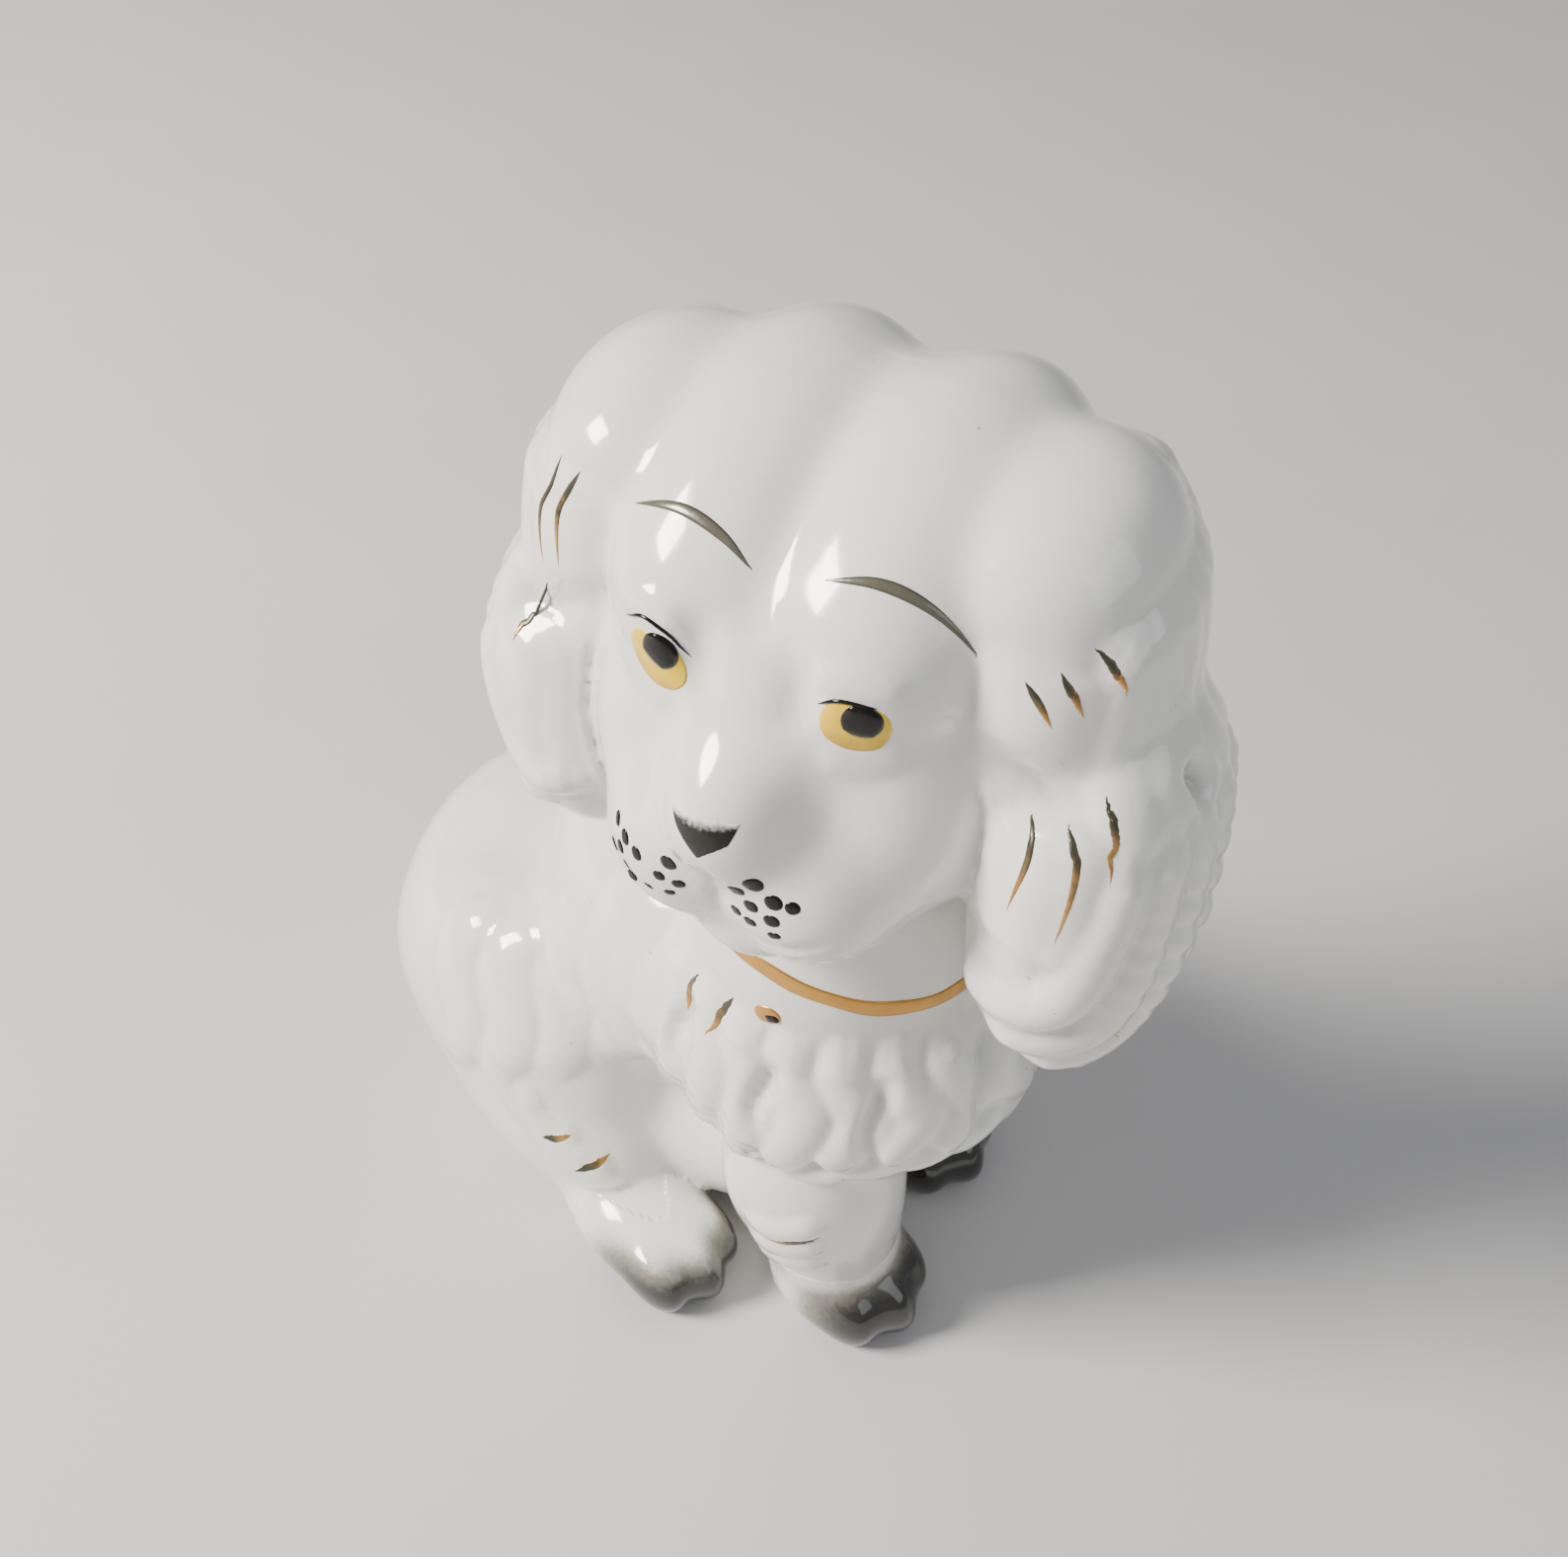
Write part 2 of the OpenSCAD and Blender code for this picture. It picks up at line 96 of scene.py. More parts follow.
def both(at, half, tilt=(0, 0, 0)):
    """The same lobe on the right and on the left."""
    mirror = (at[0], -at[1], at[2])
    return [lobe(at, half, tilt), lobe(mirror, half, (-tilt[0], tilt[1], -tilt[2]))]


def depth(lobes, softness, points):
    """How far points lie outside a mass of clay, with its lobes smoothed together."""
    total = np.zeros(len(points))
    for at, squash in lobes:
        q = (points - at) @ squash.T
        a = np.sqrt((q * q).sum(1)) + 1e-6
        slope = q @ squash
        d = a * (a - 1) / (np.sqrt((slope * slope).sum(1)) + 1e-9)
        total += np.exp(-np.clip(d, -60, 60) / softness)
    return -softness * np.log(total + 1e-30)


box = {name: np.array(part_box(name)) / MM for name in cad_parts}
seam_z = box["body"][1][2]
chest_x = box["body"][1][0]
rump_x = box["body"][0][0]
haunch_y = box["body"][1][1]
crown_z = box["head"][1][2]
shoulder_x = chest_x - 17.5
casts = {}
locks = []  # of the cast it is on, its path, its half width and its height


def mirrored(path):
    return [(x, -y, z) for x, y, z in path]


# ---- Body ----
# A hollow slip cast: deep chest, sloping back, round rump and two haunches.
# The hair of the ruff and the flanks is modelled in locks on it afterwards.
chest_z = 39
rump_z = 18
haunch_x = rump_x + 26
casts["body"] = (
    [
        lobe((chest_x - 18, 0, chest_z), (18, 17, 17)),
        lobe((shoulder_x, -2, seam_z), (13, 13, 14)),
        lobe((chest_x - 36, 0, chest_z - 6), (25, 15.5, 16), (0, -38, 0)),
        lobe((chest_x - 37, 0, chest_z + 1), (17, 14, 15)),
        lobe((rump_x + 18, 0, rump_z), (18, haunch_y - 3.4, rump_z)),
        lobe((chest_x - 36, 0, 11), (24, 14, 13)),
    ]
    + both((haunch_x, haunch_y - 10.4, 17.5), (18, 10, 17.5), (0, -12, 0))
    + both((haunch_x + 7, haunch_y - 7.4, 8), (14, 7, 10)),
    1.6,
)


def round_chest(a, z):
    """A place beside the chest at the angle a from straight ahead, at the height z."""
    a = math.radians(a)
    return (shoulder_x + 18 * math.cos(a), 18 * math.sin(a), z)


# The ruff: wide wavy locks that sweep back as they fall and end in a thick edge, with
# deep hollows between some of them.
for k in range(-7, 8):
    back = -1 if k < 0 else 1
    a = 17 * k + 4
    edge_z = 38 - 8 * min(1, max(0, (abs(a) - 40) / 45))
    sway = 5 * back
    wave = [
        (a, 53),
        (a + sway, 48.5),
        (a - sway * 0.4, 44),
        (a + sway, edge_z + 2),
        (a + 2.6 * sway, edge_z),
    ]
    strand = [(a + 8, 52), (a + 8 + sway, 47), (a + 8, 43), (a + 8 + 1.6 * sway, edge_z + 1)]
    hem = [(a - 8, edge_z + 1), (a, edge_z - 1.2), (a + 9, edge_z - 0.6), (a + 15, edge_z + 1.5)]
    locks.append(("body", [round_chest(*p) for p in wave], 3.0, 1.5))
    locks.append(("body", [round_chest(*p) for p in strand], 1.9, 0.8))
    locks.append(("body", [round_chest(*p) for p in hem], 2.2, 1.2))
    if k % 2 == 1:
        hole = [(a + 5 - sway, 50), (a + 6, 46), (a + 8 + sway, 42), (a + 10 + sway, 38)]
        locks.append(("body", [round_chest(*p) for p in hole], 2.0, -1.5))

# Softer locks fall down the shoulders and flanks, down the nape, and over the haunches.
for k in range(5):
    x = 8 - 6 * k
    top = 50 - 3.2 * k
    fall = [(x, -16, top), (x - 3, -17, top - 8), (x, -18, top - 15), (x - 3, -18, top - 22)]
    locks.append(("body", fall, 3.4, 0.7))
    locks.append(("body", mirrored(fall), 3.4, 0.7))
for k in range(-3, 4):
    a = 180 + 17 * k
    nape = [round_chest(a, 53), round_chest(a + 4, 47), round_chest(a - 4, 41), round_chest(a, 34)]
    locks.append(("body", nape, 3.2, 0.7))
for k in range(4):
    x = -12 + 4.4 * k
    z = 23 - 2.6 * k
    curl = [(x, -22, z), (x + 1.5, -23, z - 4.5), (x + 5, -22, z - 7.5), (x + 9, -20, z - 8)]
    locks.append(("body", curl, 2.4, 0.7))
    locks.append(("body", mirrored(curl), 2.4, 0.7))

# ---- Head ----
# A second hollow cast, luted on at the collar and turned over the right shoulder:
# a broad skull with a furrow, full brows, round cheeks and a short soft muzzle.
head_at = np.array((shoulder_x, -3, crown_z - 18.9))
head_turn = tilted(0, 0, -75)
nose_reach = 20


def headed(lobes):
    """Lobes of the head, given from the skull's middle with +X where the face looks."""
    return [(head_at + head_turn @ at, squash @ head_turn.T) for at, squash in lobes]


casts["head"] = (
    headed(
        [
            lobe((-2, 0, 0), (17, 15, 18)),
            lobe((nose_reach - 9, 0, -3), (9, 5.5, 6)),
            lobe((nose_reach - 3, 0, -5), (3, 3.4, 2.8)),
            lobe((nose_reach - 9, 0, -18), (6, 5, 3.5)),
            lobe((-1, 0, -26), (12, 12.5, 18)),
        ]
        + both((-4, 6.5, 10.4), (14, 8.5, 8.9))
        + both((6, 6.5, 7), (8, 7, 7))
        + both((4, 9, -6), (10.5, 7.5, 11.5))
        + both((nose_reach - 7, 5.0, -11), (6.5, 6.5, 7))
    ),
    1.3,
)


def head_lock(path, width, height):
    places = [tuple(head_at + head_turn @ np.array(p, float)) for p in path]
    locks.append(("head", places, width, height))


# A furrow runs down the brow, the eyes sit in hollows, and the lips are cut in.
head_lock([(-8, 0, 19), (3, 0, 18), (10, 0, 13), (13, 0, 8)], 4.5, -0.9)
head_lock([(20.8, 0, -5), (21, 0, -8), (19.5, 0, -11.5), (17, 0, -14)], 1.1, -0.5)
for side in (-1, 1):
    head_lock([(12, side * 3.4, 10), (14, side * 3.6, 6.5), (15, side * 3.4, 3)], 3.4, -0.8)
    head_lock([(17, side * 0.8, -14), (19, side * 5.5, -12.8), (17.4, side * 9, -10.6)], 0.8, -0.55)
    head_lock([(13, side * 5, 2.6), (13.6, side * 8, 2.2), (12, side * 11, 3.4)], 1.6, 0.3)
    head_lock([(13.4, side * 4.6, 8.6), (13.6, side * 7.4, 9.2), (12, side * 10.5, 8.2)], 1.3, 0.35)
for side in (-1, 1):
    head_lock([(-14, side * 5, 4), (-15, side * 6, -3), (-14, side * 4, -10)], 3.0, 0.5)
    head_lock([(-12, side * 11, 4), (-13, side * 11, -4), (-12, side * 9, -12)], 3.0, 0.5)

# ---- Ears ----
# Long hanging ears, each a cast of its own. An ear is a smooth swelling at its root,
# then a second and a third tier of heavy locks below it.
for side, name in ((-1, "right_ear"), (1, "left_ear")):
    casts[name] = (
        headed(
            [
                lobe((-2, side * 14.5, 12), (10, 7.5, 6.5)),
                lobe((-1, side * 16.8, 4.2), (10.5, 7.2, 12.6)),
                lobe((1, side * (19.8 if side < 0 else 21.2), -6.5), (11, 7.4, 10.5)),
            ]
            + (
                [lobe((2, -18.8, -10), (10, 7, 10.5)), lobe((4.5, -17.6, -14), (8.5, 6, 8.5))]
                if side < 0
                else [lobe((2, 21.8, -13.5), (10.5, 7.2, 11)), lobe((3, 21, -18.3), (9.5, 7, 11.6))]
            )
        ),
        0.9,
    )

    def ear_lock(path, width, height, name=name, side=side):
        """A lock given by how far round the ear it is, in degrees from the front, and z."""
        places = []
        for a, z in path:
            a = math.radians(a)
            at = (1.5 + 11 * math.cos(a), side * (20.5 + 8 * math.sin(a)), z)
            places.append(tuple(head_at + head_turn @ np.array(at)))
        locks.append((name, places, width, height))

    # The root is smooth in front, with long locks beside and behind it. Below it hang
    # the front locks, and the rest sweep round their lower end towards the cheek.
    for a in range(52, 215, 20):
        ear_lock([(a, 15), (a + 9, 9), (a - 5, 3), (a + 7, -4)], 3.0, 1.1)
    for a in (-34, -12, 10, 32):
        ear_lock([(a + 3, 12), (a, 8), (a + 4, 4)], 3.2, 0.45)
    for a in (-48, -24, 0, 22):
        ear_lock([(a + 2, 1), (a - 2, -3), (a, -8), (a - 8, -13)], 3.3, 0.7)
    drop = 0 if side > 0 else 4
    for k in range(5):
        a = 44 + 21 * k
        low_z = -17 - 3.3 * k + drop
        sweep = [(a, 1), (a - 4, -6), (a - 22, low_z + 2), (a - 52, low_z), (a - 84, low_z + 1)]
        ear_lock(sweep, 2.4, 1.4)
    for a in range(150, 260, 19):
        ear_lock([(a + 10, -2), (a, -9), (a + 6, -16), (a - 6, -22)], 2.8, 1.1)
    ear_lock([(80, 3.2), (84, 1.0), (86, -1.5)], 1.7, -2.4)
    ear_lock([(-50, 2.6), (-10, 2.0), (30, 2.8)], 1.8, -0.7)

# ---- Legs, feet and tail ----
# Pressed solid in small moulds and luted on. The hind feet point outwards a little
# in front of the haunches, and the tail lies curled against the rump.
leg_y = {-1: -7.25, 1: 11.25}
leg_x = {-1: chest_x - 12.5, 1: chest_x - 18.5}
hind_foot_x = chest_x - 30
for side, word in ((-1, "right"), (1, "left")):
    casts[word + "_foreleg"] = (
        [
            lobe((leg_x[side], leg_y[side], 14), (7, 7, 24)),
            lobe((leg_x[side] - 2.5, leg_y[side] + side, 22), (9.5, 8.5, 15)),
            lobe((leg_x[side] + 2, leg_y[side], 3.6), (8, 6.8, 5.2)),
        ]
        + [
            lobe((leg_x[side] + 7.8 - 0.12 * toe * toe, leg_y[side] + toe, 3.3), (3.4, 1.9, 3.8))
            for toe in (-4.2, 0, 4.2)
        ],
        0.8,
    )
    foot_y = side * (haunch_y - 5.4)
    casts[word + "_hind_foot"] = (
        [lobe((hind_foot_x, foot_y, 3.6), (10.5, 6.2, 5.2))]
        + [
            lobe((hind_foot_x + 8.2 - 0.12 * toe * toe, foot_y + toe, 3.2), (3.6, 2.0, 3.8))
            for toe in (-3.9, 0, 3.9)
        ],
        0.8,
    )
    for k in range(3):
        z = 25 - 3.5 * k
        x, y = leg_x[side], leg_y[side] + side * 6
        feather = [(x + 4, y, z), (x + 1, y + side, z - 3), (x - 3, y, z - 5)]
        locks.append((word + "_foreleg", feather, 1.9, 0.6))
casts["tail"] = (
    [
        lobe((rump_x + 3, 6, 4.5), (5.5, 12, 5.5), (0, 0, 20)),
        lobe((rump_x + 4, -1, 11), (5.5, 5.5, 5.5)),
    ],
    1.4,
)

# ---- Luting ----
# The casts are joined with slip while they are leather hard, and the slip is sponged
# into the seams, so the glaze runs over them in one skin.
SLIP = 0.8
CLAY_STEP = 3.0
FINE = 7
LIP = 0.6  # how far a cast's closing faces are tucked under the skin


def figure_depth(points):
    total = np.zeros(len(points))
    for lobes, softness in casts.values():
        total += np.exp(-np.clip(depth(lobes, softness, points), -40, 40) / SLIP)
    return -SLIP * np.log(total + 1e-30)


def in_parts(function, points, size=150000):
    parts = [function(points[i : i + size]) for i in range(0, len(points), size)]
    return np.concatenate(parts)


low = np.floor((np.array(cad_box[0]) / MM - 6) / CLAY_STEP) * CLAY_STEP
high = np.array(cad_box[1]) / MM + 6
count = np.ceil((high - low) / CLAY_STEP).astype(int)
cells = np.stack(np.meshgrid(*[np.arange(n) for n in count], indexing="ij"), -1)
middles = low + (cells + 0.5) * CLAY_STEP
rough = in_parts(figure_depth, middles.reshape(-1, 3)).reshape(count)
rough = np.maximum(rough, -middles[..., 2])
block = np.repeat(np.repeat(np.repeat(rough, FINE, 0), FINE, 1), FINE, 2)
block = np.clip(block, -3, 3).astype(np.float32)
near = np.argwhere(np.abs(rough) < 3.4)
inner = np.stack(np.meshgrid(*[np.arange(FINE)] * 3, indexing="ij"), -1).reshape(-1, 3)
spots = (near[:, None, :] * FINE + inner[None]).reshape(-1, 3)
fine_step = CLAY_STEP / FINE
places = low + (spots + 0.5) * fine_step
fine = np.maximum(in_parts(figure_depth, places), -places[:, 2])
block[spots[:, 0], spots[:, 1], spots[:, 2]] = np.clip(fine, -3, 3)
volume = openvdb.FloatGrid(3.0)
volume.copyFromArray(block)
corners, quads = volume.convertToQuads(0.0)
skin = low + (np.array(corners, float) + 0.5) * fine_step
quads = np.array(quads, int)
standing = skin[:, 2] < 0.05


def slope(points, step=0.05):
    g = np.empty_like(points)
    for k in range(3):
        d = np.zeros(3)
        d[k] = step
        g[:, k] = in_parts(figure_depth, points + d) - in_parts(figure_depth, points - d)
    return g / (2 * step)


def settled(points, steps, longest):
    """Points moved onto the surface of the clay."""
    for _ in range(steps):
        g = slope(points)
        move = g * (in_parts(figure_depth, points) / ((g * g).sum(1) + 1e-9))[:, None]
        size = np.linalg.norm(move, axis=1, keepdims=True) + 1e-9
        points = points - move * np.minimum(1, longest / size)
    return points


skin = settled(skin, 2, 0.5)
skin[:, 2] = np.where(standing, 0, np.maximum(skin[:, 2], 0))
names = list(casts)
depths = np.array(
    [in_parts(lambda p, c=cast: depth(*c, p), skin) for cast in casts.values()]
)
owner = depths.argmin(0)
outward = slope(skin)
outward /= np.linalg.norm(outward, axis=1, keepdims=True) + 1e-9

# Each lock is pressed up from the clay along a curve, and each groove is cut into it.
# The glaze softens them and gathers in the hollows between, and the depth of the
# hollows is kept to paint shade into them.
SAMPLES = 26


def bend(path, count=SAMPLES):
    """A smooth curve through the points of a path."""
    p = np.array(path, float)
    p = np.concatenate([[2 * p[0] - p[1]], p, [2 * p[-1] - p[-2]]])
    t = np.linspace(0, len(p) - 3 - 1e-6, count)
    i = t.astype(int)
    t = (t - i)[:, None]
    a, b, c, d = p[i], p[i + 1], p[i + 2], p[i + 3]
    return 0.5 * (
        2 * b + (c - a) * t + (2 * a - 5 * b + 4 * c - d) * t**2 + (3 * (b - c) + d - a) * t**3
    )


curves = settled(np.concatenate([bend(path) for _, path, _, _ in locks]), 6, 2.5)
curves = curves.reshape(len(locks), SAMPLES, 3)
raised = np.zeros(len(skin))
cut = np.zeros(len(skin))
for (name, _, width, height), curve in zip(locks, curves):
    box_low, box_high = curve.min(0) - width, curve.max(0) + width
    close = ((skin > box_low) & (skin < box_high)).all(1) & (owner == names.index(name))
    close = np.flatnonzero(close)
    gap = ((skin[close][:, None] - curve[None]) ** 2).sum(2)
    at = gap.argmin(1)
    t = at / (SAMPLES - 1)
    gap = gap[np.arange(len(close)), at]
    ends = np.clip(5 * t, 0, 1) * np.clip(7 * (1 - t), 0, 1)
    if height > 0:
        thin = width * (0.55 + 0.45 * np.sin(np.pi * t) ** 0.7)
        bump = height * ends * np.clip(1 - gap / thin**2, 0, 1) ** 0.7
        raised[close] = np.maximum(raised[close], bump)
    else:
        bump = height * np.sin(np.pi * t) * np.exp(-gap / (0.45 * width) ** 2)
        cut[close] = np.minimum(cut[close], bump)

sides = np.concatenate([quads[:, [k, (k + 1) % 4]] for k in range(4)])


def softened(values, times):
    for _ in range(times):
        total = np.bincount(sides[:, 0], values[sides[:, 1]], len(values))
        values = 0.4 * values + 0.6 * total / np.bincount(sides[:, 0], minlength=len(values))
    return values


raised = softened(raised + cut, 2) * np.clip(skin[:, 2] / 2, 0, 1)
hollow = np.clip(softened(raised, 14) - raised, 0, 1)
skin = skin + outward * raised[:, None]

whole = bpy.data.meshes.new("whole")
whole.from_pydata(skin.tolist(), [], quads.tolist())
normals = np.empty(len(skin) * 3)
whole.vertices.foreach_get("normal", normals)
normals = normals.reshape(-1, 3)
surface = BVHTree.FromPolygons(skin.tolist(), quads.tolist())


def attribute(mesh, name, values):
    mesh.attributes.new(name, "FLOAT", "POINT").data.foreach_set(
        "value", np.array(values, np.float32)
    )


def piece(node, points, faces, finish):
    """One finished piece, which takes the place of its CAD node."""
    mesh = bpy.data.meshes.new(node + "_mesh")
    mesh.from_pydata((np.array(points) * MM).tolist(), [], faces)
    mesh.polygons.foreach_set("use_smooth", np.ones(len(faces), bool))
    mesh.materials.append(finish)
    made = bpy.data.objects.new("fired_" + node, mesh)
    bpy.context.scene.collection.objects.link(made)
    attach(made, "root")
    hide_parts(node)
    return mesh


def share(k):
    """The part of the skin that belongs to one cast, closed where it meets the others."""
    signed = depths[k] - np.delete(depths, k, 0).min(0)
    inside = signed < 0
    count = inside[quads].sum(1)
    faces = quads[count == 4].tolist()
    points, turned, pool_and_shade = list(skin), list(normals), list(hollow)
    edge_points = {}

    def border(a, b):
        key = (min(a, b), max(a, b))
        if key not in edge_points:
            a, b = key
            t = signed[a] / (signed[a] - signed[b])
            edge_points[key] = len(points)
            points.append(skin[a] + (skin[b] - skin[a]) * t)
            turned.append(normals[a] + (normals[b] - normals[a]) * t)
            pool_and_shade.append(hollow[a])
        return edge_points[key]

    for quad in quads[(count > 0) & (count < 4)].tolist():
        for corner in (quad[:3], [quad[0], quad[2], quad[3]]):
            clipped = []
            for a, b in zip(corner, corner[1:] + corner[:1]):
                if inside[a]:
                    clipped.append(a)
                if inside[a] != inside[b]:
                    clipped.append(border(a, b))
            if len(clipped) > 2:
                faces.append(clipped)
    edges = {}
    for face in faces:
        for a, b in zip(face, face[1:] + face[:1]):
            edges[(a, b)] = True
    onward = {b: a for a, b in edges if (b, a) not in edges}
    while onward:
        start, after = onward.popitem()
        loop = [start]
        while after != start and after in onward:
            loop.append(after)
            after = onward.pop(after)
        if len(loop) > 2:
            first = len(points)
            points += [points[i] - LIP * turned[i] for i in loop]
            points.append(np.mean(points[first:], 0))
            turned += [turned[i] for i in loop] + [np.array((0, 0, -1.0))]
            pool_and_shade += [0] * (len(loop) + 1)
            for i, (a, b) in enumerate(zip(loop, loop[1:] + loop[:1])):
                under_a, under_b = first + i, first + (i + 1) % len(loop)
                faces += [[a, b, under_b, under_a], [under_a, under_b, len(points) - 1]]
    used = sorted(set(i for face in faces for i in face))
    new = {old: i for i, old in enumerate(used)}
    faces = [[new[i] for i in face] for face in faces]
    return [points[i] for i in used], faces, [turned[i] for i in used], [pool_and_shade[i] for i in used]


# ---- Glaze ----
# A thick, glossy, slightly warm white glaze. It is a little wavy, thicker and cooler
# in the hollows and painted darker there as shade, and it holds a few fine specks
# and pinholes.


class Shade:
    """A value in a material. Arithmetic on it adds the nodes that work it out."""

    def __init__(self, finish, socket):
        self.finish, self.socket = finish, socket

    def math(self, operation, a, b):
        return self.finish.node("Math", {"operation": operation}, {0: a, 1: b})

    def __add__(self, other):
        return self.math("ADD", self, other)

    def __radd__(self, other):
        return self.math("ADD", other, self)

    def __sub__(self, other):
        return self.math("SUBTRACT", self, other)

    def __rsub__(self, other):
        return self.math("SUBTRACT", other, self)

    def __mul__(self, other):
        return self.math("MULTIPLY", self, other)

    def __rmul__(self, other):
        return self.math("MULTIPLY", other, self)

    def __pow__(self, other):
        return self.math("POWER", self, other)

    def __lt__(self, other):
        return self.math("LESS_THAN", self, other)

    def __gt__(self, other):
        return self.math("GREATER_THAN", self, other)

    def ramp(self, low, high):
        """0 below low, 1 above high, and smooth between."""
        limits = {"Value": self, "From Min": low, "From Max": high}
        return self.finish.node("MapRange", {"interpolation_type": "SMOOTHSTEP"}, limits)


class Finish:
    """A material that is built up from nodes."""

    def __init__(self, name):
        self.made = bpy.data.materials.new(name)
        self.made.use_nodes = True
        self.tree = self.made.node_tree
        self.surface = self.tree.nodes["Principled BSDF"]
        self.place = self.node("TexCoord", {}, {}, "Object")

    def put(self, socket, value):
        if isinstance(value, Shade):
            self.tree.links.new(value.socket, socket)
        elif isinstance(value, tuple) and len(value) == 3 and socket.type == "RGBA":
            socket.default_value = (*value, 1)
        else:
            socket.default_value = value

    def node(self, kind, settings, sockets, out=0):
        made = self.tree.nodes.new("ShaderNode" + kind)
        for name, value in settings.items():
            setattr(made, name, value)
        for name, value in sockets.items():
            self.put(made.inputs[name], value)
        return Shade(self, made.outputs[out])

    def mix(self, amount, a, b):
        colours = {0: amount, 6: a, 7: b}
        return self.node("Mix", {"data_type": "RGBA"}, colours, 2)

    def noise(self, size_mm, detail=2.0, rough=0.5):
        """Soft random patches of about this size."""
        sockets = {"Vector": self.place, "Scale": 1000 / size_mm}
        return self.node("TexNoise", {}, {**sockets, "Detail": detail, "Roughness": rough})

    def spots(self, apart_mm, size_mm):
        """Round specks, scattered about this far apart."""
        sockets = {"Vector": self.place, "Scale": 1000 / apart_mm}
        return self.node("TexVoronoi", {}, sockets, "Distance") < size_mm / apart_mm

    def read(self, name):
        return self.node("Attribute", {"attribute_name": name}, {}, "Fac")

    def bump(self, height, distance_mm, strength=1.0):
        sockets = {"Height": height, "Distance": distance_mm * MM, "Strength": strength}
        self.set(Normal=self.node("Bump", {}, sockets))

    def set(self, **values):
        for name, value in values.items():
            self.put(self.surface.inputs[name.replace("_", " ")], value)


GLAZE_WHITE = (0.84, 0.825, 0.77)


def glaze_colour(finish):
    tint = finish.mix(finish.noise(14), GLAZE_WHITE, (0.80, 0.80, 0.75))
    # Painted shade: the hollows are mixed towards a darker, cooler grey.
    pool_and_shade = finish.mix(finish.read("hollow") * 1.6, tint, (0.60, 0.61, 0.54))
    return finish.mix(finish.spots(5.5, 0.16) * 0.5, pool_and_shade, (0.20, 0.17, 0.12))


def glaze_gloss(finish):
    wavy = finish.noise(7, 1.0) + finish.noise(1.6, 1.0) * 0.05
    finish.bump(wavy - finish.spots(8, 0.3) * 0.1, 0.22)
    finish.set(
        Roughness=0.1 + finish.noise(3) * 0.08,
        Coat_Weight=0.5,
        Coat_Roughness=0.04,
        IOR=1.52,
    )


glaze = Finish("white_glaze")
glaze.set(Base_Color=glaze_colour(glaze))
glaze_gloss(glaze)
for k, name in enumerate(names):
    points, faces, turned, pool_and_shade = share(k)
    mesh = piece(name, points, faces, glaze.made)
    mesh.normals_split_custom_set_from_vertices([tuple(n) for n in turned])
    attribute(mesh, "hollow", pool_and_shade)

# ---- Painting ----
# Everything else is painted over the glaze by hand and fired again, so each piece is
# a thin film that follows the skin, a little fuller in its middle than at its edge.
FILM = 0.12
UNDER = 0.08


def on_skin(points):
    """The nearest places on the skin, and which way it faces there."""
    places, facing = [], []
    for p in points:
        place, _, face, _ = surface.find_nearest(Vector(p))
        corner = quads[face]
        near = 1 / (((skin[corner] - np.array(place)) ** 2).sum(1) + 1e-4)
        facing.append((normals[corner] * near[:, None]).sum(0))
        places.append(place)
    facing = np.array(facing)
    return np.array(places), facing / (np.linalg.norm(facing, axis=1, keepdims=True) + 1e-9)


def film(grid, thick=FILM, joined=False):
    """A closed film over a grid of points, given as (rows, columns, 3)."""
    rows, columns = grid.shape[:2]
    place, facing = on_skin(grid.reshape(-1, 3))
    v, u = np.meshgrid(np.linspace(-1, 1, rows), np.linspace(-1, 1, columns), indexing="ij")
    full = (1 - v**4) if joined else (1 - np.maximum(u**4, v**4))
    rise = (thick * (0.15 + 0.85 * full)).reshape(-1, 1)
    points = np.concatenate([place + facing * rise, place - facing * UNDER])
    index = np.arange(rows * columns).reshape(rows, columns)
    under = index + rows * columns
    a, b = index[:-1, :-1], index[:-1, 1:]
    c, d = index[1:, 1:], index[1:, :-1]
    if joined:
        index = index[:, :-1]
        around = np.roll(index, -1, 1)
        a, b, c, d = index[:-1], around[:-1], around[1:], index[1:]
    top = np.stack([a, b, c, d], -1).reshape(-1, 4)
    faces = top.tolist() + (top[:, ::-1] + rows * columns).tolist()
    edges = set()
    for face in top.tolist():
        edges.update(zip(face, face[1:] + face[:1]))
    for i, j in edges:
        if (j, i) not in edges:
            faces.append([j, i, i + rows * columns, j + rows * columns])
    if joined:
        keep = sorted(set(i for face in faces for i in face))
        new = {old: i for i, old in enumerate(keep)}
        faces = [[new[i] for i in face] for face in faces]
        points = points[keep]
        u, v = [np.tile(w.reshape(-1), 2)[keep] for w in (u, v)]
    else:
        u, v = [np.tile(w.reshape(-1), 2) for w in (u, v)]
    return points, faces, u, v


def daub(at, wide, tall, roll=0, bulge=2.0, count=17):
    """Targets for a dot of paint about the point at, wide by tall, turned by roll."""
    (place,), (out,) = on_skin([at])
    across = np.cross((0, 0, 1), out)
    across /= np.linalg.norm(across)
    over = np.cross(out, across)
    c, s = math.cos(math.radians(roll)), math.sin(math.radians(roll))
    v, u = np.meshgrid(*[np.linspace(-1, 1, count)] * 2, indexing="ij")
    x = u * np.sqrt(1 - v * v / bulge) * wide / 2
    y = v * np.sqrt(1 - u * u / bulge) * tall / 2
    x, y = x * c - y * s, x * s + y * c
    return place + across * x[..., None] + over * y[..., None]


